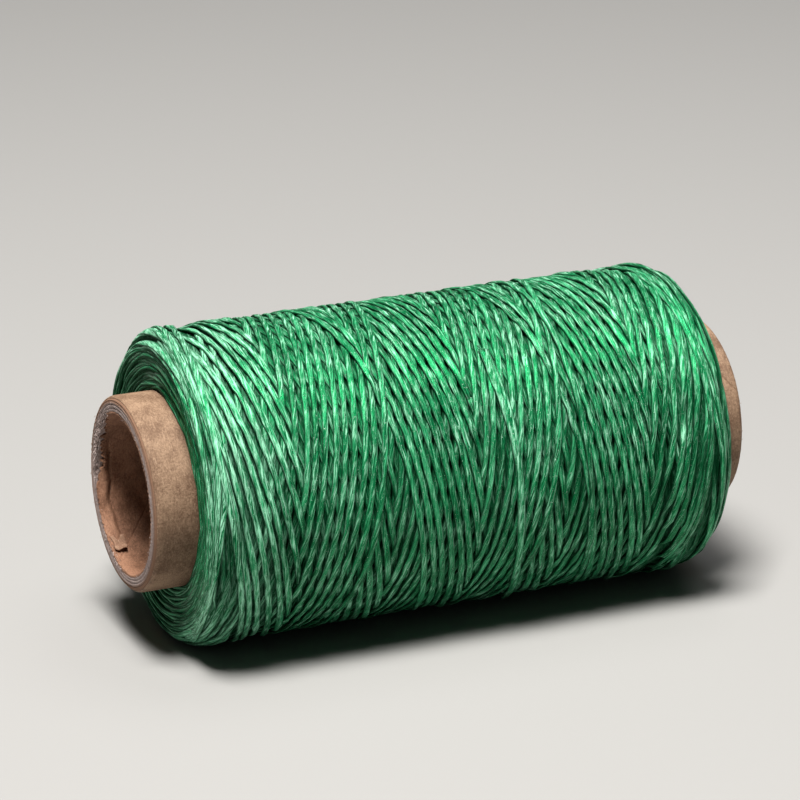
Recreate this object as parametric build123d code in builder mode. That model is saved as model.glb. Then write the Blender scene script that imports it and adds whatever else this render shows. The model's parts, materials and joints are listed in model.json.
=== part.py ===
"""A spool of flat waxed thread: a cross-wound package of thread on a spiral-wound paper tube, lying on its side.

Millimetres. The spool's axis runs along X, +Z is up, and the origin is the lowest point of the thread package,
halfway along the spool.
"""

from build123d import *

import os
from math import cos, radians, sin, sqrt, tan

# The paper tube
tube_length = 114.0
bore_radius = 14.3
liner_thickness = 0.4
board_thickness = 0.6
board_count = 4
wrap_thickness = 0.4
rim_rounding = 1.2  # the burnished outer corner of each cut end
bore_rounding = 0.3

# The thread package
package_radius = 28.0
package_length = 99.0
end_dish = 0.9  # how far each end face sinks from its shoulder to the tube
shoulder_height = 3.4
left_shoulder_length = 2.8
right_shoulder_length = 4.6
base_winding_radius = 20.4
body_winding_radius = 24.4
resting_flat_width = 4.9  # the wound thread settles this wide where it lies

# The thread
thread_width = 1.2
thread_thickness = 0.45
start_tail_length = 30.0
start_tail_inset = 6.0

# The free end of the last course lies round the front of the package: degrees above the front, and place in X
free_end_clearance = 0.06
free_end_course = (
    (-68, 12.0),
    (-52, 10.2),
    (-37, 8.7),
    (-22, 7.8),
    (-7, 7.2),
    (8, 6.9),
    (23, 6.4),
    (38, 5.7),
    (55, 5.0),
)

board_radius = bore_radius + liner_thickness
wrap_radius = board_radius + board_count * board_thickness
tube_radius = wrap_radius + wrap_thickness
half_tube = tube_length / 2
half_package = package_length / 2
tail_start = -half_package + start_tail_inset
axis_height = sqrt(package_radius**2 - (resting_flat_width / 2) ** 2)
spool_axis = Axis((0, 0, axis_height), (1, 0, 0))
# A section through the spool, with its origin on the axis: X along the spool and Y out from the axis.
section = Plane(origin=(0, 0, axis_height), x_dir=(1, 0, 0), z_dir=(0, -1, 0))
# A section across the spool, at its middle: X to the back and Y up.
across = Plane(origin=(0, 0, axis_height), x_dir=(0, 1, 0), z_dir=(1, 0, 0))
pieces = []


def keep(piece, name):
    """Names a finished piece and puts it on the list to write."""
    piece.label = name
    pieces.append(piece)


def end_face_x(radius):
    """How far from the spool's middle each end face of the package is at this radius."""
    shoulder_radius = package_radius - shoulder_height
    share = (shoulder_radius - radius) / (shoulder_radius - tube_radius)
    return half_package - end_dish * max(0.0, share)


def tube_ply(inner_radius, outer_radius):
    """One ply of the tube's wall. Its ends follow the tube's rounded rims."""
    with BuildPart() as ply:
        with BuildSketch(section):
            with BuildLine():
                Polyline(
                    (-half_tube, bore_radius),
                    (half_tube, bore_radius),
                    (half_tube, tube_radius),
                    (-half_tube, tube_radius),
                    close=True,
                )
            make_face()
        revolve(axis=spool_axis)
        fillet(ply.edges().filter_by(GeomType.CIRCLE).group_by(SortBy.RADIUS)[0], radius=bore_rounding)
        fillet(ply.edges().filter_by(GeomType.CIRCLE).group_by(SortBy.RADIUS)[-1], radius=rim_rounding)
        with Locations(section):
            Cylinder(outer_radius, 2 * tube_length, rotation=(0, 90, 0), mode=Mode.INTERSECT)
            Cylinder(inner_radius, 3 * tube_length, rotation=(0, 90, 0), mode=Mode.SUBTRACT)
    return ply.part


def tail_section():
    """The flat thread's section where it starts, along the top of the tube."""
    half_angle = thread_width / 2 / tube_radius
    top = tube_radius + thread_thickness
    corners = [
        (side * radius * sin(half_angle), radius * cos(half_angle))
        for radius, side in ((tube_radius, -1), (top, -1), (top, 1), (tube_radius, 1))
    ]
    with BuildSketch(across.offset(tail_start)) as profile:
        with BuildLine():
            Line(corners[0], corners[1])
            ThreePointArc(corners[1], (0, top), corners[2])
            Line(corners[2], corners[3])
            ThreePointArc(corners[3], (0, tube_radius), corners[0])
        make_face()
    return profile.sketch


def inner_winding_section(inner_radius, outer_radius):
    """Half a section of the courses wound between two radii, with the package's dished ends."""
    with BuildSketch(section) as profile:
        with BuildLine():
            Polyline(
                (-end_face_x(inner_radius), inner_radius),
                (end_face_x(inner_radius), inner_radius),
                (end_face_x(outer_radius), outer_radius),
                (-end_face_x(outer_radius), outer_radius),
                close=True,
            )
        make_face()
    return profile.sketch


# The tube's plies, from the bore outwards
keep(tube_ply(bore_radius, board_radius), "inner_liner")
for board in range(board_count):
    inner_radius = board_radius + board * board_thickness
    keep(tube_ply(inner_radius, inner_radius + board_thickness), f"board_ply_{board + 1}")
keep(tube_ply(wrap_radius, tube_radius), "outer_wrap")

# The start of the thread lies along the tube, under the first courses
with BuildPart() as start_tail:
    extrude(tail_section(), amount=start_tail_length)
keep(start_tail.part, "thread_start_tail")

with BuildPart() as base_winding:
    revolve(inner_winding_section(tube_radius, base_winding_radius), axis=spool_axis)
    extrude(tail_section(), amount=start_tail_length, mode=Mode.SUBTRACT)
keep(base_winding.part, "thread_base_winding")

with BuildPart() as body_winding:
    revolve(inner_winding_section(base_winding_radius, body_winding_radius), axis=spool_axis)
keep(body_winding.part, "thread_body_winding")

# The outer courses, with their rounded shoulders and the flat that they rest on
shoulder_base = package_radius - shoulder_height
left_top = -half_package + left_shoulder_length
right_top = half_package - right_shoulder_length
with BuildPart() as outer_winding:
    with BuildSketch(section):
        with BuildLine():
            EllipticalCenterArc(
                (left_top, shoulder_base),
                left_shoulder_length,
                shoulder_height,
                start_angle=90,
                arc_size=90,
            )
            Line((left_top, package_radius), (right_top, package_radius))
            EllipticalCenterArc(
                (right_top, shoulder_base),
                right_shoulder_length,
                shoulder_height,
                start_angle=0,
                arc_size=90,
            )
            Polyline(
                (half_package, shoulder_base),
                (end_face_x(body_winding_radius), body_winding_radius),
                (-end_face_x(body_winding_radius), body_winding_radius),
                (-half_package, shoulder_base),
            )
        make_face()
    revolve(axis=spool_axis)
    split(bisect_by=Plane.XY, keep=Keep.TOP)
keep(outer_winding.part, "thread_outer_winding")

# The last course comes out from under the package and ends on its front. The route's corners stand a little
# further out than its line, so that the runs between them stay clear of the package.
lap_radius = package_radius + free_end_clearance + thread_width / 2
half_step = max(later[0] - earlier[0] for earlier, later in zip(free_end_course, free_end_course[1:])) / 2
corner_radius = lap_radius / cos(radians(half_step))
route = []
for lift, along in free_end_course:
    out = corner_radius * cos(radians(lift))
    up = corner_radius * sin(radians(lift))
    route.append(Vector(along, -out, axis_height + up))
runs = [(after - before).length for before, after in zip(route, route[1:])]
bends = []
for before, corner, after, run, next_run in zip(route, route[1:], route[2:], runs, runs[1:]):
    turn = radians((corner - before).get_angle(after - corner))
    bends.append(0.45 * min(run, next_run) / tan(turn / 2))
with BuildPart() as free_end:
    with BuildLine():
        path = FilletPolyline(*route, radius=bends)
    with BuildSketch(Plane(origin=path @ 0, z_dir=path % 0)):
        Circle(thread_width / 2)
    sweep()
keep(free_end.part, "thread_free_end")
print("free end bend radii", [round(bend, 1) for bend in bends], "length", round(path.length, 2))

os.makedirs("parts", exist_ok=True)
for piece in pieces:
    export_step(piece, f"parts/{piece.label}.step")
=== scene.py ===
"""The looks of a spool of flat waxed thread, cross-wound on a spiral-wound paper tube, lying on its side.

Lengths are in millimetres until a mesh is made, and places are in the CAD frame. A place on the spool is
given by x along the spool and theta round it, in turns: 0 is the front, a quarter is the top, and a half is
the back.
"""

import json
import math

import bpy
import numpy as np
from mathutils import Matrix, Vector


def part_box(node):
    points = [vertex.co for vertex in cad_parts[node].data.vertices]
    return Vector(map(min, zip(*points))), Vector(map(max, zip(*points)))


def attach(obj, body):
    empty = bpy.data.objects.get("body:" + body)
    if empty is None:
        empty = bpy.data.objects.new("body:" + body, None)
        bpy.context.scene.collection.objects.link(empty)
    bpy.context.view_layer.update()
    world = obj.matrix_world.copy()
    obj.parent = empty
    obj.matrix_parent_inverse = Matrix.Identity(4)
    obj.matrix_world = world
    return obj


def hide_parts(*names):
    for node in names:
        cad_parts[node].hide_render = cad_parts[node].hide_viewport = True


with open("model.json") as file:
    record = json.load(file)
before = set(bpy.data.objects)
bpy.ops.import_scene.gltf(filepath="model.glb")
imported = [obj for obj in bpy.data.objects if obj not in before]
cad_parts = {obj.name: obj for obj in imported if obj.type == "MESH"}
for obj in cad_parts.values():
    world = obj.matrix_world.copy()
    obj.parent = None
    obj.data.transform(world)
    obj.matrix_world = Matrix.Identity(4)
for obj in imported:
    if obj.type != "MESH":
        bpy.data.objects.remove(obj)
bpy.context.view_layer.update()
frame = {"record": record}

MM = 0.001


def cad_size(node):
    """A node's size and middle in millimetres."""
    low, high = (np.array(corner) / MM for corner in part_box(node))
    return high - low, (high + low) / 2


mount_of = {mount["name"]: mount for mount in frame["record"]["mounts"]}
wrap_size, wrap_middle = cad_size("outer_wrap")
board_size, _ = cad_size("board_ply_1")
package_size, _ = cad_size("thread_outer_winding")

# The tube and the package, as the CAD has them
axis_height = wrap_middle[2]
half_tube = board_size[0] / 2
bore_radius = mount_of["spindle_bore"]["dims"]["r_mm"]
tube_radius = wrap_size[2] / 2
board_radii = [cad_size(f"board_ply_{number}")[0][2] / 2 for number in (1, 2, 3, 4)]
liner_radius = cad_size("inner_liner")[0][2] / 2
base_radius = cad_size("thread_base_winding")[0][2] / 2
body_radius = cad_size("thread_body_winding")[0][2] / 2
package_radius = package_size[1] / 2
half_package = package_size[0] / 2
rim_rounding = 1.2
end_dish = 0.9
shoulder_height = 3.4
left_shoulder_length = 2.8
right_shoulder_length = 4.6

# The thread and how it is wound
thread_width = 1.22
thread_thickness = 0.60
laid_thickness = 0.40  # what one crossing adds to the package, because the thread beds down
lead = 33.3  # travel along the spool in one turn
stroke_turns = 2.9735  # turns from one reversal to the next
reversal_turns = 0.15  # how softly the thread reverses
last_stroke_phase = 0.600  # theta where the last full stroke crosses the spool's middle
ply_pitch = 32.0  # the length in which the thread's plies go once round
cycles = 4  # how many times the whole pattern is laid
full_cycles = 2  # how many of them show all along the spool. The others show only at the ends
double_strokes = 19  # how many times the thread goes there and back in one cycle
cycle_turns = 2 * stroke_turns * double_strokes


# ---- helpers


def smooth_noise(values, wavelengths, seed):
    """A smooth random curve along these values, of about unit size."""
    draw = np.random.default_rng(seed)
    total = np.zeros_like(values, dtype=float)
    for wavelength in wavelengths:
        for _ in range(3):
            stretch = draw.uniform(0.75, 1.15)
            total += np.cos(2 * np.pi * values / (wavelength * stretch) + draw.uniform(0, 2 * np.pi))
    return total / math.sqrt(1.5 * len(wavelengths))


def round_noise(theta, orders, seed):
    """A smooth random curve round a full turn, of about unit size. theta is in turns."""
    draw = np.random.default_rng(seed)
    total = np.zeros_like(theta, dtype=float)
    for order in orders:
        total += np.cos(2 * np.pi * order * theta + draw.uniform(0, 2 * np.pi)) * draw.uniform(0.6, 1.3)
    return total / math.sqrt(0.5 * len(orders))


def place(x, radius, theta):
    """Points in millimetres from a place on the spool."""
    x, radius, angle = np.broadcast_arrays(x, radius, 2 * np.pi * np.asarray(theta))
    return np.stack([x, -radius * np.cos(angle), axis_height + radius * np.sin(angle)], -1)


def new_mesh(name, points, faces, material, attributes=()):
    """Makes a smooth-shaded mesh object from points in millimetres, with its point attributes."""
    mesh = bpy.data.meshes.new(name)
    loops = np.concatenate([face.ravel() for face in faces]).astype(np.int32)
    counts = np.concatenate([np.full(len(face), face.shape[1]) for face in faces]).astype(np.int32)
    starts = np.concatenate([[0], np.cumsum(counts)[:-1]]).astype(np.int32)
    mesh.vertices.add(len(points))
    mesh.vertices.foreach_set("co", (points * MM).astype(np.float32).ravel())
    mesh.loops.add(len(loops))
    mesh.loops.foreach_set("vertex_index", loops)
    mesh.polygons.add(len(counts))
    mesh.polygons.foreach_set("loop_start", starts)
    mesh.polygons.foreach_set("use_smooth", np.ones(len(counts), dtype=bool))
    mesh.update(calc_edges=True)
    mesh.validate()
    for attribute, values in attributes:
        kind = "FLOAT_VECTOR" if values.ndim == 2 else "FLOAT"
        field = "vector" if values.ndim == 2 else "value"
        layer = mesh.attributes.new(attribute, kind, "POINT")
        layer.data.foreach_set(field, values.astype(np.float32).ravel())
    mesh.materials.append(material)
    piece = bpy.data.objects.new(name, mesh)
    bpy.context.scene.collection.objects.link(piece)
    return piece


def grid_faces(rows, columns, first=0, closed_columns=True, closed_rows=False):
    """Quads of a grid of points, row by row."""
    row = np.arange(rows if closed_rows else rows - 1)[:, None]
    column = np.arange(columns if closed_columns else columns - 1)[None]
    right = (column + 1) % columns
    up = (row + 1) % rows
    corners = [row * columns + column, row * columns + right, up * columns + right, up * columns + column]
    return first + np.stack(corners, -1).reshape(-1, 4)


# ---- materials


class Shader:
    """A material's node tree, with short ways to add nodes."""

    def __init__(self, name):
        self.material = bpy.data.materials.new(name)
        self.material.use_nodes = True
        self.tree = self.material.node_tree
        self.surface = self.tree.nodes["Principled BSDF"]

    def node(self, kind, inputs=(), **settings):
        made = self.tree.nodes.new(kind)
        for setting, value in settings.items():
            setattr(made, setting, value)
        for socket, value in dict(inputs).items():
            if isinstance(value, bpy.types.NodeSocket):
                self.tree.links.new(value, made.inputs[socket])
            else:
                made.inputs[socket].default_value = value
        return made

    def noise(self, vector, scale, detail=2.0, roughness=0.5, distortion=0.0):
        inputs = {"Vector": vector, "Scale": scale, "Detail": detail}
        inputs |= {"Roughness": roughness, "Distortion": distortion}
        return self.node("ShaderNodeTexNoise", inputs).outputs["Fac"]

    def stretched(self, vector, scale):
        return self.node("ShaderNodeVectorMath", {0: vector, 1: scale}, operation="MULTIPLY").outputs[0]

    def ramp(self, factor, *stops):
        """Colour or value stops, each (place, value)."""
        made = self.node("ShaderNodeValToRGB", {"Fac": factor})
        elements = made.color_ramp.elements
        while len(elements) < len(stops):
            elements.new(0.5)
        for element, (position, value) in zip(elements, stops):
            element.position = position
            element.color = (*value, 1.0) if isinstance(value, tuple) else (value, value, value, 1.0)
        return made.outputs["Color"]

    def mix(self, factor, under, color):
        """This colour over the one under it. The numbers are the node's colour sockets."""
        inputs = {"Factor": factor, 6: under, 7: (*color, 1.0)}
        return self.node("ShaderNodeMix", inputs, data_type="RGBA").outputs[2]

    def math(self, operation, first, second=0.0):
        return self.node("ShaderNodeMath", {0: first, 1: second}, operation=operation).outputs[0]

    def total(self, *parts):
        """The sum of these parts, each (value, weight)."""
        result = self.math("MULTIPLY", *parts[0])
        for value, weight in parts[1:]:
            result = self.math("ADD", result, self.math("MULTIPLY", value, weight))
        return result

    def above(self, value, level, weight):
        """How far the value is above this level, times a weight."""
        return self.math("MULTIPLY", self.math("SUBTRACT", value, level), weight)

    def axis(self, vector, number):
        return self.node("ShaderNodeSeparateXYZ", {0: vector}).outputs[number]

    def map_range(self, value, ends, results=(0.0, 1.0)):
        """The value, mapped from between these ends to between these results, and held there."""
        inputs = {"Value": value, "From Min": ends[0], "From Max": ends[1]}
        inputs |= {"To Min": results[0], "To Max": results[1]}
        return self.node("ShaderNodeMapRange", inputs).outputs[0]

    def bump(self, height, distance, strength=1.0, normal=None):
        inputs = {"Height": height, "Distance": distance, "Strength": strength}
        if normal is not None:
            inputs["Normal"] = normal
        return self.node("ShaderNodeBump", inputs).outputs["Normal"]

    def finish(self, color, roughness, normal, **settings):
        for socket, value in (("Base Color", color), ("Roughness", roughness), ("Normal", normal)):
            self.tree.links.new(value, self.surface.inputs[socket])
        for socket, value in settings.items():
            self.surface.inputs[socket.replace("_", " ")].default_value = value
        return self.material


def object_place(shader):
    """Object coordinates in millimetres."""
    where = shader.node("ShaderNodeTexCoord").outputs["Object"]
    return shader.stretched(where, (1 / MM,) * 3)


def from_axis(shader, where):
    """How far this place is from the spool's axis."""
    inputs = {0: where, 1: (0.0, 0.0, axis_height)}
    away = shader.node("ShaderNodeVectorMath", inputs, operation="SUBTRACT").outputs[0]
    across = shader.stretched(away, (0.0, 1.0, 1.0))
    return shader.node("ShaderNodeVectorMath", {0: across}, operation="LENGTH").outputs["Value"]


def scaled(color, factor):
    return tuple(channel * factor for channel in color)


def turned_with_plies(shader, strand):
    """The place on the strand, turned with its plies. Their twist wanders a little along the strand."""
    wander = shader.math("MULTIPLY", shader.noise(shader.stretched(strand, (0.05, 0, 0)), 1.0), 2.0)
    twist = shader.math("MULTIPLY", shader.axis(strand, 0), 2 * math.pi / ply_pitch)
    inputs = {"Vector": strand, "Angle": shader.math("ADD", twist, wander)}
    return shader.node("ShaderNodeVectorRotate", inputs, rotation_type="X_AXIS").outputs[0]


def ply_lobes(shader, twisted):
    """Three lobes round the strand, from -1 to 1: the cosine of three times the angle."""
    cosine = shader.axis(twisted, 1)
    squared = shader.math("MULTIPLY", shader.math("MULTIPLY", cosine, cosine), 4.0)
    return shader.math("MULTIPLY", cosine, shader.math("SUBTRACT", squared, 3.0))


def dyed_green(shader, strand, filaments, fine, plies, shade):
    """The thread's green under its wax. The dye takes more or less along the strand."""
    dye = shader.noise(shader.stretched(strand, (0.022, 0, 0)), 1.0, 2.0, 0.6)
    tone = shader.total((filaments, 0.65), (fine, 0.35), (plies, 0.015))
    tone = shader.math("ADD", tone, shader.above(dye, 0.5, 0.34))
    deep = scaled((0.0003, 0.022, 0.007), shade)
    middle = scaled((0.0020, 0.122, 0.039), shade)
    light = scaled((0.070, 0.45, 0.205), shade)
    return shader.ramp(tone, (0.37, deep), (0.50, middle), (0.65, light))


def wax_and_painted_light_share(shader, where, streaks, more_wax):
    """How much milky colour shows: wax in streaks and patches, a painted highlight on the left shoulder, and
    painted shade that gives less of it on the end faces.
    """
    outside = shader.map_range(from_axis(shader, where), (22.5, 26.0))
    # Painted highlight: paler on the left shoulder, where the key light falls.
    painted_highlight_on_left_shoulder = shader.map_range(shader.axis(where, 0), (-30.0, -43.0), (0.0, 0.07))
    painted_highlight_on_left_shoulder = shader.math("MULTIPLY", painted_highlight_on_left_shoulder, outside)
    # Painted shade: the end faces get less of the milky colour.
    painted_light_by_place = shader.math("ADD", painted_highlight_on_left_shoulder, shader.above(outside, 1.0, 0.05))
    patches = shader.above(shader.noise(where, 0.16, 2.0, 0.55), 0.5, 0.22)
    wax = shader.math("ADD", shader.math("ADD", streaks, more_wax), painted_light_by_place)
    return shader.ramp(shader.math("ADD", wax, patches), (0.52, 0.0), (0.68, 0.88))


def painted_shade_between_strands(shader, strand, height):
    """A painted shade factor for the colour: 1 on the upper side of a strand that lies on top, and less down
    between the strands and on their lower sides.
    """
    raised = shader.map_range(height, (-0.60, 0.20), (0.18, 1.0))
    upper_side = shader.map_range(shader.axis(strand, 2), (0.30, 0.82), (0.20, 1.0))
    return shader.math("MULTIPLY", raised, upper_side)


def thread_material(name, shade=1.0, more_wax=0.0):
    """Waxed polyester: plies twisted together, fine filaments, milky streaks of wax, and white specks of it.

    Painted shade makes it darker down between the courses and on the strands' lower sides."""
    shader = Shader(name)
    strand = shader.node("ShaderNodeAttribute", attribute_name="strand_place").outputs["Vector"]
    height = shader.node("ShaderNodeAttribute", attribute_name="strand_height").outputs["Fac"]
    where = object_place(shader)
    twisted = turned_with_plies(shader, strand)
    plies = ply_lobes(shader, twisted)
    filaments = shader.noise(shader.stretched(twisted, (0.22, 3.4, 3.4)), 1.0, 3.0, 0.62, 0.3)
    fine = shader.noise(shader.stretched(twisted, (0.8, 8.0, 8.0)), 1.0, 2.0, 0.6)
    streaks = shader.noise(shader.stretched(twisted, (0.34, 2.3, 2.3)), 1.0, 4.0, 0.7, 0.3)
    color = dyed_green(shader, strand, filaments, fine, plies, shade)
    # The milky colour carries wax streaks and patches, a painted highlight on the left shoulder and painted
    # shade on the end faces.
    milky = wax_and_painted_light_share(shader, where, streaks, more_wax)
    color = shader.mix(milky, color, scaled((0.38, 0.82, 0.56), shade))
    specks = shader.ramp(shader.noise(where, 4.2, 3.0, 0.7), (0.655, 0.0), (0.70, 1.0))
    color = shader.mix(specks, color, (0.62, 0.84, 0.70))
    # Painted shade: the colour is scaled down between the strands and on their lower sides, and those places
    # are made rougher.
    painted_light_scale = painted_shade_between_strands(shader, strand, height)
    color = shader.node("ShaderNodeVectorMath", {0: color, "Scale": painted_light_scale}, operation="SCALE").outputs[0]
    roughness = shader.ramp(streaks, (0.3, 0.27), (0.75, 0.40))
    dull = shader.math("MULTIPLY", shader.math("SUBTRACT", 1.0, painted_light_scale), 0.6)
    roughness = shader.math("ADD", roughness, dull)
    normal = shader.bump(plies, 0.02 * MM, 0.5)
    normal = shader.bump(filaments, 0.10 * MM, 0.9, normal)
    normal = shader.bump(fine, 0.06 * MM, 0.8, normal)
    settings = {"Specular_IOR_Level": 0.65, "Specular_Tint": (0.04, 1.0, 0.32, 1.0)}
    return shader.finish(color, roughness, normal, **settings)


def kraft_material(name, dark, light, fibre_light):
    """Kraft paper: cloudy brown, with short fibres and darker flecks."""
    shader = Shader(f"kraft_{name}_paper")
    where = object_place(shader)
    clouds = shader.noise(where, 0.22, 4.0, 0.6)
    grain = shader.noise(where, 2.6, 4.0, 0.75)
    fibres = shader.noise(shader.stretched(where, (5.0, 1.1, 1.1)), 1.0, 4.0, 0.7, 1.2)
    flecks = shader.ramp(shader.noise(where, 1.9, 3.0, 0.6, 0.8), (0.64, 0.0), (0.70, 0.55))
    tone = shader.total((clouds, 0.35), (grain, 0.35), (fibres, 0.30))
    color = shader.ramp(tone, (0.43, dark), (0.57, light))
    color = shader.mix(flecks, color, scaled(dark, 0.5))
    pale = shader.ramp(fibres, (0.62, 0.0), (0.74, 0.6))
    color = shader.mix(pale, color, fibre_light)
    roughness = shader.ramp(grain, (0.3, 0.62), (0.7, 0.82))
    normal = shader.bump(grain, 0.13 * MM, 0.9)
    normal = shader.bump(fibres, 0.11 * MM, 0.9, normal)
    return shader.finish(color, roughness, normal, Specular_IOR_Level=0.35)


def board_material(name, dark, light):
    """Grey chipboard, cut across: pale fibres pulled out along the cut, and brown where it is burnished."""
    shader = Shader(name)
    where = object_place(shader)
    clouds = shader.noise(where, 0.6, 3.0, 0.6)
    fibres = shader.noise(shader.stretched(where, (1.0, 3.5, 3.5)), 1.0, 4.0, 0.75, 0.8)
    tone = shader.total((clouds, 0.4), (fibres, 0.6))
    color = shader.ramp(tone, (0.33, dark), (0.68, light))
    uneven = shader.math("ADD", from_axis(shader, where), shader.math("MULTIPLY", clouds, 0.5))
    burnished = shader.map_range(uneven, (16.2, 16.75))
    color = shader.mix(burnished, color, (0.225, 0.125, 0.078))
    roughness = shader.ramp(fibres, (0.3, 0.8), (0.7, 0.95))
    normal = shader.bump(fibres, 0.12 * MM, 1.0)
    return shader.finish(color, roughness, normal, Specular_IOR_Level=0.25)


thread_green = thread_material("waxed_green_thread")
thread_pale = thread_material("waxed_green_thread_pale", 1.06, 0.035)
wrap_brown = kraft_material("wrap", (0.138, 0.075, 0.042), (0.318, 0.204, 0.127), (0.50, 0.36, 0.25))
liner_brown = kraft_material("liner", (0.165, 0.075, 0.040), (0.36, 0.185, 0.110), (0.50, 0.33, 0.23))
# Painted light: the flap's kraft is a lighter copy of the liner's, because the flap's face is turned up to
# the light.
flap_brown_painted_light = kraft_material("flap", (0.21, 0.11, 0.065), (0.43, 0.26, 0.17), (0.62, 0.45, 0.34))
fibre_pale = board_material("torn_fibre", (0.38, 0.285, 0.255), (0.78, 0.67, 0.63))
board_grey = board_material("grey_chipboard_edge", (0.185, 0.125, 0.108), (0.47, 0.385, 0.355))


# ---- the package's outer form


def package_form():
    """The package's outline from the tube on the left to the tube on the right.

    Gives a function from the distance along it, 0 at the middle, to x, radius and the outward normal, and
    the distances at which the outline starts and ends."""
    fineness = 0.05
    base = package_radius - shoulder_height
    quarter = np.linspace(0, np.pi / 2, 60)
    face = np.linspace(0, 1, 40)
    left_face_x = -half_package + end_dish * (1 - face)
    left_face_radius = tube_radius + (base - tube_radius) * face
    left_x = -half_package + left_shoulder_length * (1 - np.cos(quarter))
    left_radius = base + shoulder_height * np.sin(quarter)
    right_x = half_package - right_shoulder_length * (1 - np.cos(quarter[::-1]))
    right_radius = base + shoulder_height * np.sin(quarter[::-1])
    x = np.concatenate([left_face_x[:-1], left_x, right_x, -left_face_x[::-1][1:]])
    radius = np.concatenate([left_face_radius[:-1], left_radius, right_radius, left_face_radius[::-1][1:]])
    along = np.concatenate([[0], np.cumsum(np.hypot(np.diff(x), np.diff(radius)))])
    along -= np.interp(0, x, along)
    steps = np.arange(along[0], along[-1], fineness)
    fine_x = np.interp(steps, along, x)
    fine_radius = np.interp(steps, along, radius)
    spread = np.hanning(23)
    spread = spread / spread.sum()
    slope_x = np.convolve(np.gradient(fine_x), spread, "same")
    slope_radius = np.convolve(np.gradient(fine_radius), spread, "same")
    size = np.hypot(slope_x, slope_radius)

    def form(distance):
        tables = (fine_x, fine_radius, -slope_radius / size, slope_x / size)
        return [np.interp(distance, steps, table) for table in tables]

    return form, along[0], along[-1]


form, form_start, form_end = package_form()


# ---- winding the thread


def thread_course(turns):
    """How far along the form the thread is laid at each time.

    Time is in turns, and the last full stroke crosses the middle at 0."""
    stroke = np.round(turns / stroke_turns)
    since = turns - stroke * stroke_turns
    direction = np.where(stroke % 2 == 0, 1.0, -1.0)
    before_end = stroke_turns / 2 - np.abs(since)
    soft = np.sqrt(before_end**2 + reversal_turns**2) - reversal_turns
    reach = lead * (math.sqrt(stroke_turns**2 / 4 + reversal_turns**2) - reversal_turns)
    return direction * np.sign(since) * (reach - lead * soft)


def reach_out(turns):
    """How much further than the traverse the thread reaches at its reversals.

    Each cycle reverses a little short of the one under it, which rounds the shoulders."""
    nearest = np.round(turns / stroke_turns - 0.5)
    before = np.abs(turns / stroke_turns - 0.5 - nearest) * stroke_turns
    side = np.where(nearest % 2 == 0, 1.0, -1.0)
    cycles_ago = -nearest * stroke_turns / cycle_turns
    further = np.where(side > 0, 0.7 + 1.55 * cycles_ago, 2.9 + 0.95 * cycles_ago)
    further = further + 0.55 * smooth_noise(nearest / 2, (6.0, 15.0), 3)
    jitter = np.random.default_rng(3).normal(0, 0.12, 1024)
    further = further + jitter[nearest.astype(int) % len(jitter)]
    return side * further * np.exp(-((before / 0.5) ** 2))


leave_turn = 2.211  # when the thread starts its last lap, which was laid by hand
leave_at = float(thread_course(np.array([leave_turn]))[0])
lap_end_at = 12.0  # how far along the form the last lap ends, where the free end comes out
lap_end_slope = -38.0


def last_lap(turns):
    """The hand-laid lap: a smooth curve from the last course to where the free end comes out."""
    share = np.clip(turns - leave_turn, 0, 1)
    square = share**2
    cubic = share**3
    return (
        (2 * cubic - 3 * square + 1) * leave_at
        + (cubic - 2 * square + share) * -lead
        + (3 * square - 2 * cubic) * lap_end_at
        + (cubic - square) * lap_end_slope
    )


# How high the laid thread stands, on a grid with a row for each part of a turn and a column along the form
samples_per_turn = 720
form_step = 0.15
height_columns = int((form_end - form_start) / form_step) + 1
heights = np.zeros((samples_per_turn, height_columns))
first_turn = -cycles * cycle_turns
end_turn = leave_turn + 1.0
turns = np.arange(int(first_turn * samples_per_turn), int(end_turn * samples_per_turn)) / samples_per_turn
stroke_number = np.round(turns / stroke_turns).astype(int)
strokes = np.arange(stroke_number.min(), stroke_number.max() + 1)
stroke_shifts = np.random.default_rng(20).normal(0, 0.09, 4096)[: len(strokes)]
along_form = thread_course(turns) + reach_out(turns)
along_form += np.interp(turns, strokes * stroke_turns, stroke_shifts)
along_form += 0.06 * smooth_noise(turns, (0.35, 0.8), 11)
along_form = np.where(turns > leave_turn, last_lap(turns), along_form)
theta = turns + last_stroke_phase
centre_height = np.zeros_like(turns)
lean = np.zeros_like(turns)


def windows(values, reach):
    """Each value with this many samples each side of it."""
    padded = np.pad(values, reach, mode="edge")
    return np.lib.stride_tricks.sliding_window_view(padded, 2 * reach + 1)


def rest_height(bearing):
    """How high the thread rests on what bears it.

    It is tight, so it bridges dips: it rests on the highest of the places each side, each lowered by the sag
    times the square of how many samples away it is. It is stiff, so it lies smoothly."""
    bridge, sag = 18, 0.0022
    borne = windows(bearing, 3).max(1)
    tight = (windows(borne, bridge) - sag * np.arange(-bridge, bridge + 1) ** 2).max(1)
    return windows(windows(tight, 6).mean(1), 4).mean(1)


def leaning(under):
    """How the thread leans on ground that is higher on one side of it, as an angle."""
    edge_columns, steepest, share_taken = 3, 0.45, 0.7
    tilt = under[:, -edge_columns:].mean(1) - under[:, :edge_columns].mean(1)
    return np.clip(windows(tilt, 6).mean(1) / thread_width, -steepest, steepest) * share_taken


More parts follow.
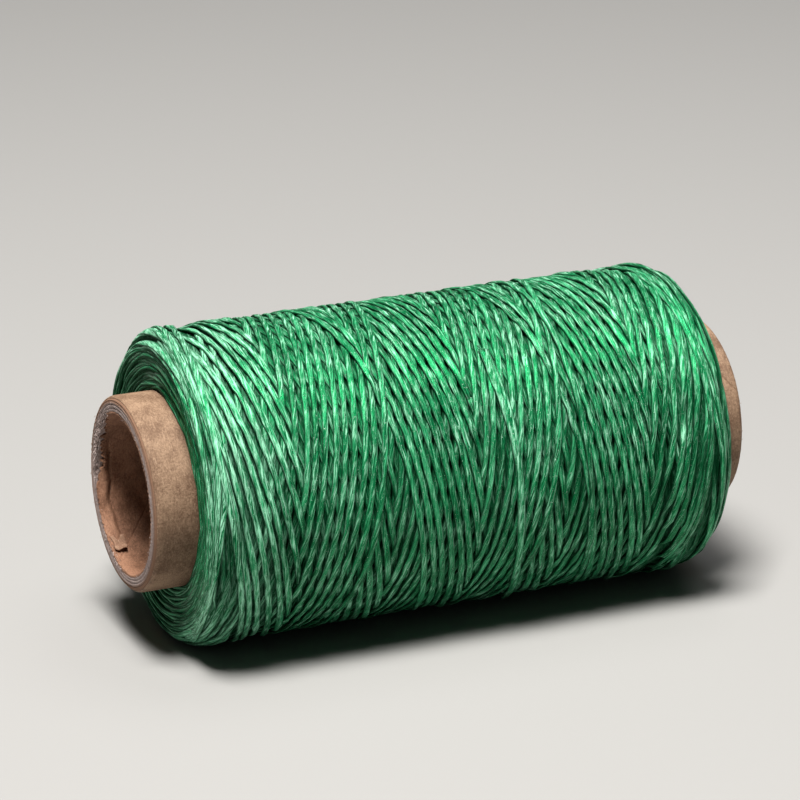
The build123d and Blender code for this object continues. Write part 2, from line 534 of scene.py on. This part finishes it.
half_columns = int(round(thread_width / 2 / form_step))
offsets = np.arange(-half_columns, half_columns + 1)
rounded_half_width = thread_width / 2 + 0.12
section_height = np.sqrt(np.clip(1 - (offsets * form_step / rounded_half_width) ** 2, 0, 1))
for number in strokes:
    chosen = np.nonzero(stroke_number == number)[0]
    row = np.round(theta[chosen] * samples_per_turn).astype(int) % samples_per_turn
    column = np.round((along_form[chosen] - form_start) / form_step).astype(int)
    under = heights[row[:, None], column[:, None] + offsets[None]]
    bearing = (under - (1 - section_height) * laid_thickness * 0.7).max(1)
    rest = rest_height(bearing)
    lean[chosen] = leaning(under)
    centre_height[chosen] = rest + thread_thickness / 2
    for offset, share in zip(offsets, section_height):
        held = heights[row, column + offset]
        heights[row, column + offset] = np.maximum(held, rest + laid_thickness * share)


def blur_weights(count, step, sigma, wraps):
    """The weights that smooth a row of values over this many millimetres."""
    places = np.arange(count) * step
    away = np.abs(places[:, None] - places[None])
    if wraps:
        away = np.minimum(away, count * step - away)
    weights = np.exp(-0.5 * (away / sigma) ** 2)
    return weights / weights.sum(1, keepdims=True)


# The top of the package follows the CAD's form, so what is laid is lowered by the mean height round there,
# and by a little more
lowered_more = 0.20
round_step = 2 * np.pi * package_radius / samples_per_turn
level_round = heights.mean(0) @ blur_weights(height_columns, form_step, 0.7, False).T + 1e-6
level = blur_weights(samples_per_turn, round_step, 3.5, True) @ (heights - level_round)
level = level_round + level @ blur_weights(height_columns, form_step, 2.0, False).T + lowered_more
form_places = form_start + form_step * np.arange(height_columns)
middle_level = np.interp(0, form_places, level_round)  # the ends pile up deeper and pack down to this


def eased(values, limit, room):
    """Values past this limit only go on by as much as there is room for."""
    return limit + room * np.tanh((values - limit) / room)


def lowered(height, along, theta):
    """A height above the first layer, as a height above the package's form."""
    row = np.round(theta * samples_per_turn).astype(int) % samples_per_turn
    column = np.clip(np.round((along - form_start) / form_step).astype(int), 0, height_columns - 1)
    packed = np.minimum(middle_level / level_round[column], 1.0)
    above = (height - level[row, column]) * packed
    highest, lowest = 0.10, -0.45
    above = np.where(above > highest, eased(above, highest, 0.25), above)
    return np.where(above < lowest, eased(above, lowest, 0.40), above)


# ---- strands as meshes


def strand_section(sides):
    """A flat ribbon's outline with rounded edges, starting underneath, and the angle round it."""
    angle = -np.pi / 2 + 2 * np.pi * np.arange(sides) / sides
    across = np.sign(np.cos(angle)) * np.abs(np.cos(angle)) ** 0.88
    up = np.sign(np.sin(angle)) * np.abs(np.sin(angle)) ** 0.82
    return angle, across, up


def strand(points, normals, sides, start_length=0.0, roll=0.0, width=1.0, lobes=0.02, seed=0, height=0.0):
    """Points, faces and attributes of one ribbon that follows these points, with closed ends.

    The attributes are the place on the strand, as length and the cosine and sine of the angle round it, and
    the height above the package's surface. The given height is that of the strand's middle."""
    count = len(points)
    along = np.gradient(points, axis=0)
    along /= np.linalg.norm(along, axis=1)[:, None]
    normals = normals - (normals * along).sum(1)[:, None] * along
    normals /= np.linalg.norm(normals, axis=1)[:, None]
    across = np.cross(along, normals)
    step = np.linalg.norm(np.diff(points, axis=0), axis=1)
    length = start_length + np.concatenate([[0], np.cumsum(step)])
    roll = roll + 0.10 * smooth_noise(length, (14.0, 40.0), seed + 1)
    turned_across = across * np.cos(roll)[:, None] + normals * np.sin(roll)[:, None]
    turned_up = normals * np.cos(roll)[:, None] - across * np.sin(roll)[:, None]
    wide = width * (1 + 0.05 * smooth_noise(length, (6.0, 19.0), seed + 2))
    thick = 1 / wide
    angle, section_across, section_up = strand_section(sides)
    twist = length * 2 * np.pi / ply_pitch
    ridges = 1 + lobes * np.cos(5 * angle[None] - twist[:, None]) * np.abs(np.sin(angle))[None]
    side_way = (thread_width / 2) * wide[:, None] * section_across[None] * (1 + 0.3 * (ridges - 1))
    up_way = (thread_thickness / 2) * thick[:, None] * section_up[None] * ridges
    ring = (
        points[:, None]
        + turned_across[:, None] * side_way[..., None]
        + turned_up[:, None] * up_way[..., None]
    )
    on_strand = np.broadcast_arrays(length[:, None], np.cos(angle)[None], np.sin(angle)[None])
    above = np.broadcast_to(np.asarray(height), (count,))[:, None] + up_way
    attributes = np.stack([*on_strand, above], -1)
    faces = grid_faces(count, sides)
    caps = np.stack([np.arange(sides)[::-1], (count - 1) * sides + np.arange(sides)])
    return ring.reshape(-1, 3), [faces, caps], attributes.reshape(-1, 4)


def thinned(points, line, sides, share):
    """The points of a strand along this line, drawn in towards the line."""
    middle = np.repeat(line, sides, axis=0)
    return middle + (points - middle) * share


def joined(parts):
    """Several strands as one list of points, faces and attribute values."""
    points, faces, places, first = [], [], [], 0
    for part_points, part_faces, part_places in parts:
        points.append(part_points)
        faces += [face + first for face in part_faces]
        places.append(part_places)
        first += len(part_points)
    return np.concatenate(points), faces, np.concatenate(places)


def settle(points):
    """The package lies on its flat: nothing reaches below the surface."""
    low = 0.03
    soft = 0.25
    height = points[:, 2]
    pressed = low + soft * np.exp((height - soft - low) / soft)
    points[:, 2] = np.where(height < low + soft, pressed, height)
    return points


def thread_mesh(name, points, faces, attributes, material=thread_green):
    """A piece of thread, with its place on the strand and its height above the surface for the material."""
    named = [("strand_place", attributes[:, :3]), ("strand_height", attributes[:, 3])]
    return new_mesh(name, settle(points), faces, material, named)


def course_strand(begin, end, sides, step):
    """The thread laid between two times."""
    last = min(np.searchsorted(turns, end) + step, len(turns) - 1)
    chosen = np.arange(np.searchsorted(turns, begin), last + 1, step)
    x, radius, normal_x, normal_radius = form(along_form[chosen])
    height = lowered(centre_height[chosen], along_form[chosen], theta[chosen])
    angle = 2 * np.pi * theta[chosen]
    points = place(x + height * normal_x, radius + height * normal_radius, theta[chosen])
    normals = np.stack([normal_x, -normal_radius * np.cos(angle), normal_radius * np.sin(angle)], -1)
    laid = begin * 2 * np.pi * package_radius
    return strand(points, normals, sides, laid, lean[chosen], seed=int(abs(begin) * 10), height=height)


def cycle_pieces(name, cycles_back, split, sides, step):
    """One whole cycle of courses, in this many pieces. The last cycle also has the last lap."""
    pieces = []
    for number in range(split):
        begin = cycle_turns * (number / split - cycles_back)
        end = cycle_turns * ((number + 1) / split - cycles_back)
        if cycles_back == 1 and number == split - 1:
            end = end_turn
        strand_parts = course_strand(begin, end, sides, step)
        pieces.append(thread_mesh(f"thread_{name}_courses_{number + 1}", *strand_parts))
    return pieces


def reversals_piece(name, begin, end, sides, step):
    """The reversals made between two times, as one piece: all that shows of the cycles further down."""
    before = 0.42
    parts = []
    first = math.ceil(begin / stroke_turns - 0.5)
    last = math.floor(end / stroke_turns - 0.5)
    for number in range(first, last + 1):
        middle = (number + 0.5) * stroke_turns
        parts.append(course_strand(middle - before, middle + before, sides, step))
    return thread_mesh(name, *joined(parts))


outer_pieces = cycle_pieces("top", 1, 6, 16, 5) + cycle_pieces("lower", 2, 3, 10, 6)
for number in range(cycles - full_cycles):
    begin = cycle_turns * (number - cycles)
    name = f"thread_shoulder_courses_{number + 1}"
    outer_pieces.append(reversals_piece(name, begin, begin + cycle_turns, 10, 6))


def packed_ring(name, outline, columns, ridges=0.0, seed=0):
    """A ring of packed courses: a closed outline turned round the axis, with ridges on its end faces.

    The outline is (x, radius, end), where end is -1 on the left end face, 1 on the right one, and else 0."""
    course_spacing = 0.62
    angles = np.arange(columns) / columns
    x, radius, end = (values[:, None] + np.zeros(columns) for values in outline.T)
    uneven = radius + 0.3 * round_noise(angles, (1, 2, 3, 5), seed)[None]
    x = x + ridges * end * (np.cos(2 * np.pi * uneven / course_spacing) - 0.6)
    points = place(x, radius, angles[None])
    # The height of -0.8 puts these courses deep in the material's painted shade.
    on_strand = np.broadcast_arrays(angles[None] * 150, 1.3 * radius, 1.3 * x, -0.8)
    faces = grid_faces(len(outline), columns, closed_rows=True)
    return thread_mesh(name, points.reshape(-1, 3), [faces], np.stack(on_strand, -1).reshape(-1, 4))


def face_x(radius):
    """How far from the middle each end face is at this radius."""
    base = package_radius - shoulder_height
    return half_package - end_dish * np.clip((base - radius) / (base - tube_radius), 0, 1)


def ring_outline(inner, outer, inset):
    """The closed outline of a ring of courses between two radii, with many points on its end faces."""
    spacing = 0.12
    radii = np.arange(inner, outer + 0.01, (outer - inner) / math.ceil((outer - inner) / spacing))
    left = np.stack([-face_x(radii) + inset, radii, -np.ones_like(radii)], -1)
    across = np.linspace(-1, 1, 24)[1:-1] * (half_package - inset - end_dish)
    top = np.stack([across, np.full_like(across, outer), np.zeros_like(across)], -1)
    right = np.stack([face_x(radii) - inset, radii, np.ones_like(radii)], -1)[::-1]
    bottom = np.stack([across, np.full_like(across, inner), np.zeros_like(across)], -1)[::-1]
    return np.concatenate([left, top, right, bottom])


def outer_fill():
    """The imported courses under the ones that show, down to the body winding."""
    from_tube, spacing, deeper, deepest = 2.5, 0.5, 0.12, 1.35
    distance = np.arange(form_start + from_tube, form_end - from_tube, spacing)
    x, radius, normal_x, normal_radius = form(distance)
    depth = np.minimum(np.interp(distance, form_places, level.mean(0)) + deeper, deepest)
    top = np.stack([x - depth * normal_x, radius - depth * normal_radius, np.zeros_like(x)], -1)
    top = top[top[:, 1] > body_radius + 0.1]
    across = np.linspace(top[-1, 0], top[0, 0], 24)
    inner = np.stack([across, np.full_like(across, body_radius + 0.02), np.zeros_like(across)], -1)
    return np.concatenate([top, inner])


base_outline = ring_outline(tube_radius + 0.02, base_radius, 0.35)
body_outline = ring_outline(base_radius + 0.02, body_radius, 0.35)
base_ring = packed_ring("thread_base_courses", base_outline, 256, 0.12, 5)
body_ring = packed_ring("thread_body_courses", body_outline, 256, 0.12, 6)
fill_ring = packed_ring("thread_packed_courses", outer_fill(), 320)


def end_courses(name, side, seed):
    """The reversals that show on one end of the package: short arcs of every layer, from the tube outwards.

    side is -1 for the left end and 1 for the right end."""
    layer_spacing, arcs, last_radius = 0.43, 10, package_radius - 1.9
    draw = np.random.default_rng(seed)
    parts = []
    radius = tube_radius + 0.3
    apex = 0.0
    while radius < last_radius:
        for _ in range(arcs):
            apex += 1 / arcs + draw.normal(0, 0.012)
            reach = draw.uniform(0.10, 0.15)
            before = np.linspace(-reach, reach, 30)
            soft = np.sqrt(before**2 + reversal_turns**2) - reversal_turns
            out = radius + 0.16 * smooth_noise(before, (0.12, 0.3), int(draw.integers(1 << 30)))
            out = out + draw.normal(0, 0.10)
            proud = draw.uniform(-0.15, 0.35)
            x = side * (face_x(out) + proud - lead * 0.8 * soft)
            angle = 2 * np.pi * (apex + before)
            tipped = 0.75 + draw.normal(0, 0.2)
            outwards = [-math.cos(tipped) * np.cos(angle), math.cos(tipped) * np.sin(angle)]
            normals = np.stack([np.full_like(angle, side * math.sin(tipped)), *outwards], -1)
            points = place(x, out, apex + before)
            start = draw.uniform(0, 4000)
            seed_of = int(draw.integers(1 << 30))
            parts.append(strand(points, normals, 10, start, seed=seed_of, width=0.92, height=proud - 0.3))
        radius += layer_spacing
        apex += draw.uniform(0, 1)
    return thread_mesh(name, *joined(parts))


left_end_courses = end_courses("thread_left_end_courses", -1, 31)
right_end_courses = end_courses("thread_right_end_courses", 1, 32)


def start_tail_piece():
    """The thread's start, laid along the top of the tube under the first courses."""
    size, middle = cad_size("thread_start_tail")
    reach = size[0] / 2 - 0.2
    points = place(np.linspace(middle[0] - reach, middle[0] + reach, 40), tube_radius + 0.23, 0.25)
    normals = np.tile([0.0, 0.0, 1.0], (len(points), 1))
    return thread_mesh("thread_start", *strand(points, normals, 12, lobes=0.05, width=0.9, seed=77))


start_piece = start_tail_piece()


# ---- the free end of the thread

# The free end's route round the front of the package: degrees above the front, x, and height over the form
free_end_route = (
    (-68, 12.0, 0.55),
    (-52, 10.2, 0.58),
    (-37, 8.7, 0.60),
    (-22, 7.8, 0.60),
    (-7, 7.2, 0.60),
    (8, 6.9, 0.60),
    (23, 6.4, 0.60),
    (38, 5.7, 0.62),
    (55, 5.0, 0.66),
)
route_resolution = 24


def free_end_line():
    """The free end's centre line: a NURBS spline through the route, as points in millimetres."""
    curve = bpy.data.curves.new("free_end_route", "CURVE")
    curve.dimensions = "3D"
    curve.resolution_u = route_resolution
    spline = curve.splines.new("NURBS")
    spline.points.add(len(free_end_route) - 1)
    half_step = math.radians(7.7)  # the spline cuts the corners of the route, so the route is a little wider
    for point, (lift, x, height) in zip(spline.points, free_end_route):
        radius = (package_radius + height) / math.cos(half_step)
        point.co = (*place(x, radius, lift / 360) * MM, 1.0)
    spline.order_u = 3
    spline.use_endpoint_u = True
    route = bpy.data.objects.new("free_end_route", curve)
    mesh = bpy.data.meshes.new_from_object(route)
    line = np.array([vertex.co[:] for vertex in mesh.vertices]) / MM
    bpy.data.objects.remove(route)
    bpy.data.curves.remove(curve)
    bpy.data.meshes.remove(mesh)
    return line


def frayed_tip(tip, ahead, across, up):
    """The filaments that spread from the cut end of the thread."""
    filaments, points_each, sides = 9, 8, 6
    draw = np.random.default_rng(17)
    parts = []
    for number in range(filaments):
        aside = number / (filaments - 1) - 0.5
        steps = np.linspace(0, 1, points_each)[:, None]
        length = draw.uniform(0.6, 1.7)
        start = tip + across * aside - ahead * 0.5
        sway = across * (aside * 0.9 + draw.normal(0, 0.15)) + up * draw.uniform(-0.05, 0.35)
        filament = start + ahead * length * steps + sway * steps**2
        normals = np.tile(up, (points_each, 1))
        points, faces, places = strand(filament, normals, sides, 5100.0 + 9 * number, seed=100 + number)
        parts.append((thinned(points, filament, sides, 0.28), faces, places))
    return parts


def free_end_piece():
    """The free end, which lies loose over the package and widens a little at its cut end."""
    line = free_end_line()
    outwards = line * (0, 1, 1) - (0, 0, axis_height)
    normals = outwards / np.linalg.norm(outwards, axis=1)[:, None]
    to_tip = np.linspace(len(line) - 1, 0, len(line)) / route_resolution
    widths = 1.15 + 0.50 * np.exp(-((to_tip / 2.2) ** 2))
    parts = [strand(line, normals, 18, 5000.0, seed=91, width=widths, height=0.3)]
    ahead = (line[-1] - line[-2]) / np.linalg.norm(line[-1] - line[-2])
    parts += frayed_tip(line[-1], ahead, np.cross(ahead, normals[-1]), normals[-1])
    piece = thread_mesh("thread_free_lap", *joined(parts), thread_pale)
    return piece


free_end = free_end_piece()


# ---- the paper tube


def rim_x(radius):
    """How far from the middle the tube's end is at this radius, with its burnished outer corner."""
    inwards = np.clip(radius - (tube_radius - rim_rounding), 0, rim_rounding)
    return half_tube - (rim_rounding - np.sqrt(rim_rounding**2 - inwards**2))


def turn_window(theta, middle, half_width, soft):
    """1 within half_width of this place round the tube, falling to 0 over soft. All in turns."""
    away = np.abs((theta - middle + 0.5) % 1.0 - 0.5)
    return np.clip((half_width + soft - away) / soft, 0, 1)


def ragged(theta, seed, fine):
    """How torn an edge is round the tube: about 0 to 1, with small teeth, more of them for a larger fine."""
    orders = np.random.default_rng(seed).integers(fine // 3, fine * 4, 14)
    return 0.5 + 0.25 * round_noise(theta, orders, seed + 1)


def torn_share(theta):
    """Where the left rim's inner edge is torn: at the back, towards the top."""
    return turn_window(theta, 0.435, 0.055, 0.05)


def boundary(radius, theta, number):
    """The radius round the tube of one face of a ply, counted from the bore.

    The faces inside the tube aren't quite round: each wanders a little, the same for both its plies."""
    bore_face, outer_face = 0, 6
    if number in (bore_face, outer_face):
        return np.full_like(theta, radius)
    return radius + 0.07 * round_noise(theta, (1, 2, 3, 5, 7), 200 + number)


def ply_rings(inner, outer, number, edge_recess, tear, columns=420, seam=(0.0, 0.0, 0.0)):
    """Points of one ply of the tube, ring by ring: its inner face, right edge, outer face and left edge.

    number counts plies from the bore. seam is (turns per mm, theta at the middle, depth): a groove along the
    ply's helical joint, on its inner face if depth is negative and on its outer face otherwise."""
    angles = np.arange(columns) / columns
    twist, start, depth = seam
    grooved_face = 0 if depth < 0 else 1
    near_end = np.concatenate([np.linspace(0, 4, 17)[1:], np.linspace(4.8, 12, 10)])
    from_end = np.concatenate([near_end, np.linspace(14, half_tube, 22)])
    wall = np.concatenate([from_end - half_tube, (half_tube - from_end)[::-1][1:]])
    edge = np.linspace(0, 1, 7)

    def end_x(theta, side, share):
        """Where the ply ends round the tube, at this share of its thickness."""
        recess = edge_recess * (2 * abs(share - 0.5)) ** 3
        recess = recess + 0.05 * ragged(theta, 60 + number * 3 + (side > 0), 60)
        torn = tear * torn_share(theta) if side < 0 else 0.0
        torn = torn * (0.35 + 0.9 * ragged(theta, 80 + number, 34))
        small = tear * 0.16 * ragged(theta, 84 + number + (side > 0), 46) ** 2
        return side * (rim_x(inner + (outer - inner) * share) - recess - torn - small)

    def wall_x(theta, x, share):
        """A ring of the wall at x: near an end it follows the shape of that end's edge."""
        side = 1 if x > 0 else -1
        near = np.exp(-(half_tube - abs(x)) / 3.0)
        return x + (end_x(theta, side, share) - side * half_tube) * near

    def ring(x_of, where, share):
        """One ring of points. share is 0 on the inner face and 1 on the outer face."""
        theta = (angles + start + twist * x_of(np.zeros(1), where, share)[0]) % 1.0
        low, high = boundary(inner, theta, number), boundary(outer, theta, number + 1)
        radius = low + (high - low) * share
        if share == grooved_face:
            from_seam = np.abs((angles + 0.5) % 1.0 - 0.5) * columns
            radius = radius - depth * np.exp(-((from_seam / 0.9) ** 2))
        return place(x_of(theta, where, share), radius, theta)

    rings = [ring(wall_x, x, 0.0) for x in wall]
    rings += [ring(end_x, 1, share) for share in edge]
    rings += [ring(wall_x, x, 1.0) for x in wall[::-1]]
    rings += [ring(end_x, -1, share) for share in edge[::-1]]
    return np.stack(rings)


def ply_mesh(name, rings, material):
    faces = grid_faces(*rings.shape[:2], closed_rows=True)
    return new_mesh(name, rings.reshape(-1, 3), [faces[:, ::-1]], material)


seam_at_left_mouth = -102 / 360
liner_turn = -1 / 70.6
liner_seam = (liner_turn, seam_at_left_mouth + liner_turn * half_tube, -0.24)
wrap_seam = (-1 / 73.0, 0.8497, 0.30)


def liner_piece():
    """The liner, with a buckle in the paper just inside the left mouth."""
    points = ply_rings(bore_radius, liner_radius, 0, 0.05, 1.6, 480, liner_seam)
    from_mouth = points[..., 0] + half_tube
    up = points[..., 2] - axis_height
    theta = np.arctan2(up, -points[..., 1]) / (2 * np.pi)
    radius = np.hypot(points[..., 1], up)
    inside = np.clip((liner_radius - radius) / (liner_radius - bore_radius), 0, 1)
    window = turn_window(theta, 0.555, 0.075, 0.05)
    wander = 0.16 * round_noise(theta, (4, 9, 17), 301)
    buckle = 0.75 * np.exp(-(((from_mouth - 1.6 - wander) / 0.75) ** 2)) * window
    fold = -0.30 * np.exp(-(((from_mouth - 2.75 - wander) / 0.22) ** 2)) * window
    ripple = 0.06 * smooth_noise(points[..., 0] + 60 * theta, (5.0, 11.0), 302)
    scale = 1 - inside * (buckle + fold + ripple) / radius
    points[..., 1] *= scale
    points[..., 2] = axis_height + up * scale
    return ply_mesh("kraft_inner_liner", points, liner_brown)


liner = liner_piece()
board_tears = (0.85, 0.35, 0.15, 0.1)
boards = []
for number, (outer, tear) in enumerate(zip(board_radii, board_tears)):
    inner = (liner_radius, *board_radii)[number]
    rings = ply_rings(inner, outer, number + 1, 0.15, tear)
    boards.append(ply_mesh(f"chipboard_ply_{number + 1}", rings, board_grey))
wrap_rings = ply_rings(board_radii[-1], tube_radius, 5, 0.03, 0.05, 480, wrap_seam)
wrap = ply_mesh("kraft_outer_wrap", wrap_rings, wrap_brown)


def flap_piece():
    """The corner of the liner's strip that has come unstuck and lifts off the bore, at the left mouth."""
    length, width = 14, 12
    thickness = 0.28
    along = np.linspace(0, 1, length)[:, None]
    across = np.linspace(0, 1, width)[None]
    theta = (-128 + (12.5 + 1.0 * np.sin(6 * across) + 3.5 * across) * along) / 360
    x = -56.5 + 2.6 * across * (1 - 0.25 * along) + 0.3 * np.sin(3 * along)
    lift = 0.03 + 0.95 * along**2.2 * (0.25 + 0.75 * across**1.5)
    lift = lift + 0.10 * np.sin(5 * across + 2 * along) * along
    radius = bore_radius - lift
    sheets = [place(x, radius - depth, theta).reshape(-1, 3) for depth in (thickness, 0.0)]
    count = length * width
    top = grid_faces(length, width, closed_columns=False)
    bottom = top[:, ::-1] + count
    rim = list(range(width))
    rim += [row * width + width - 1 for row in range(1, length)]
    rim += [(length - 1) * width + column for column in range(width - 2, -1, -1)]
    rim += [row * width for row in range(length - 2, 0, -1)]
    rim = np.array(rim)
    ahead = np.roll(rim, -1)
    sides = np.stack([rim, rim + count, ahead + count, ahead], -1)
    return new_mesh("kraft_liner_flap", np.concatenate(sheets), [top, bottom, sides], flap_brown_painted_light)


flap = flap_piece()


def paper_fibres():
    """Loose paper fibres on the tube's cut ends, most of them where the left mouth is torn."""
    torn, low, all_round, points_each, sides = 130, 80, 120, 7, 5
    draw = np.random.default_rng(55)
    parts = []
    for number in range(torn + low + all_round):
        on_left_mouth = number < torn + low
        side = -1.0
        if number < torn:
            theta, radius = draw.normal(0.44, 0.045), draw.uniform(bore_radius, bore_radius + 1.2)
            length = draw.uniform(0.4, 1.3)
        elif on_left_mouth:
            theta, radius = draw.normal(-0.32, 0.028), draw.uniform(bore_radius, bore_radius + 0.7)
            length = draw.uniform(0.3, 0.9)
        else:
            theta, radius = draw.uniform(0, 1), draw.uniform(bore_radius, board_radii[-1])
            length = draw.uniform(0.2, 0.6)
            side = draw.choice((-1.0, 1.0))
        steps = np.linspace(0, 1, points_each)
        drift = draw.normal(0, 0.55, 3) * length
        curl = draw.normal(0, 0.35, 3) * length
        start = side * (half_tube - draw.uniform(0.1, 0.9) * (1.0 if on_left_mouth else 0.25))
        x = start + side * length * 0.45 * steps + curl[0] * steps**2 * 0.4
        out = radius - abs(drift[1]) * steps * 0.8 + curl[1] * steps**2 * 0.5
        turn = theta + (drift[2] * steps + curl[2] * steps**2) / (2 * np.pi * radius)
        line = place(x, out, turn)
        normals = np.tile([0.3, 0.4, 0.86], (points_each, 1))
        points, faces, places = strand(line, normals, sides, seed=600 + number)
        thin = np.repeat(np.linspace(0.10, 0.03, points_each), sides)[:, None]
        parts.append((thinned(points, line, sides, thin), faces, places))
    points, faces, _ = joined(parts)
    return new_mesh("torn_paper_fibres", points, faces, fibre_pale)


fibres = paper_fibres()


# ---- what stands for what

for piece in (*outer_pieces, fill_ring):
    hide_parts("thread_outer_winding")
for piece in (body_ring, left_end_courses, right_end_courses):
    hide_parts("thread_body_winding")
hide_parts("thread_base_winding")
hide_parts("thread_start_tail")
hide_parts("thread_free_end")
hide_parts("inner_liner")
for number, board in enumerate(boards, 1):
    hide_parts(f"board_ply_{number}")
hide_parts("outer_wrap")

winding = [*outer_pieces, fill_ring, body_ring, base_ring, left_end_courses, right_end_courses]
slots = {
    "waxed_thread": [*winding, start_piece, free_end],
    "kraft_liner": [liner, flap],
    "grey_chipboard": [*boards, fibres],
    "kraft_wrap": [wrap],
}
for slot, pieces in slots.items():
    for piece in pieces:
        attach(piece, "root")


# ---- floor, light and camera


def add_floor():
    """A plain pale floor that curves up into a backdrop far behind. In metres."""
    half_width, front, bend_at, bend_radius, top = 3.0, -2.5, 1.0, 1.2, 3.0
    bend = np.linspace(0, np.pi / 2, 24)
    y = [front, *(bend_at + bend_radius * np.sin(bend)), bend_at + bend_radius]
    z = [0.0, *(bend_radius - bend_radius * np.cos(bend)), top]
    points = [(side, *place_at) for place_at in zip(y, z) for side in (-half_width, half_width)]
    faces = [(2 * row, 2 * row + 1, 2 * row + 3, 2 * row + 2) for row in range(len(y) - 1)]
    mesh = bpy.data.meshes.new("floor")
    mesh.from_pydata(points, [], faces)
    mesh.polygons.foreach_set("use_smooth", [True] * len(faces))
    shader = Shader("pale_floor")
    shader.surface.inputs["Base Color"].default_value = (0.29, 0.284, 0.275, 1)
    shader.surface.inputs["Roughness"].default_value = 0.85
    mesh.materials.append(shader.material)
    floor = bpy.data.objects.new("floor", mesh)
    bpy.context.scene.collection.objects.link(floor)


def add_softbox(name, place_at, size, power, color):
    """A rectangular light, in metres and watts, that is aimed at the middle of the spool."""
    light = bpy.data.lights.new(name, "AREA")
    light.shape = "RECTANGLE"
    light.size, light.size_y = size
    light.energy = power
    light.color = color
    lamp = bpy.data.objects.new(name, light)
    lamp.location = place_at
    aim = Vector((0.0, 0.0, axis_height * MM))
    lamp.rotation_euler = (aim - lamp.location).to_track_quat("-Z", "Y").to_euler()
    bpy.context.scene.collection.objects.link(lamp)


def add_lights():
    add_softbox("key_softbox", (-0.17, -0.20, 1.0), (0.34, 0.34), 26.0, (1.0, 0.985, 0.96))
    add_softbox("top_softbox", (0.35, 0.15, 1.1), (0.8, 0.5), 3.0, (0.97, 0.985, 1.0))
    world = bpy.data.worlds.new("studio")
    world.use_nodes = True
    background = world.node_tree.nodes["Background"]
    background.inputs["Color"].default_value = (0.86, 0.87, 0.88, 1)
    background.inputs["Strength"].default_value = 0.045
    bpy.context.scene.world = world


def add_camera():
    """The camera looks from the left end's side, and from above the middle.

    Its place is the middle of the spool and steps from there, in package radii."""
    azimuth, elevation = math.radians(-23.31), math.radians(19.66)
    distance, aside, above = 26.0, -0.0658, 0.3309
    flat = math.cos(elevation)
    back = np.array([math.sin(azimuth) * flat, -math.cos(azimuth) * flat, math.sin(elevation)])
    right = np.array([math.cos(azimuth), math.sin(azimuth), 0.0])
    up = np.cross(back, right)
    middle = np.array([-1.8, 0.0, axis_height])
    eye = middle + package_radius * (back * distance + right * aside + up * above)
    camera = bpy.data.cameras.new("camera")
    camera.sensor_width = 36.0
    camera.lens = 181.3626
    camera.clip_start = 0.01
    camera.clip_end = 20.0
    holder = bpy.data.objects.new("camera", camera)
    holder.location = eye * MM
    holder.rotation_euler = (math.pi / 2 - elevation, 0.0, azimuth)
    bpy.context.scene.collection.objects.link(holder)
    bpy.context.scene.camera = holder


add_floor()
add_lights()
add_camera()
bpy.context.scene.view_settings.view_transform = "Standard"
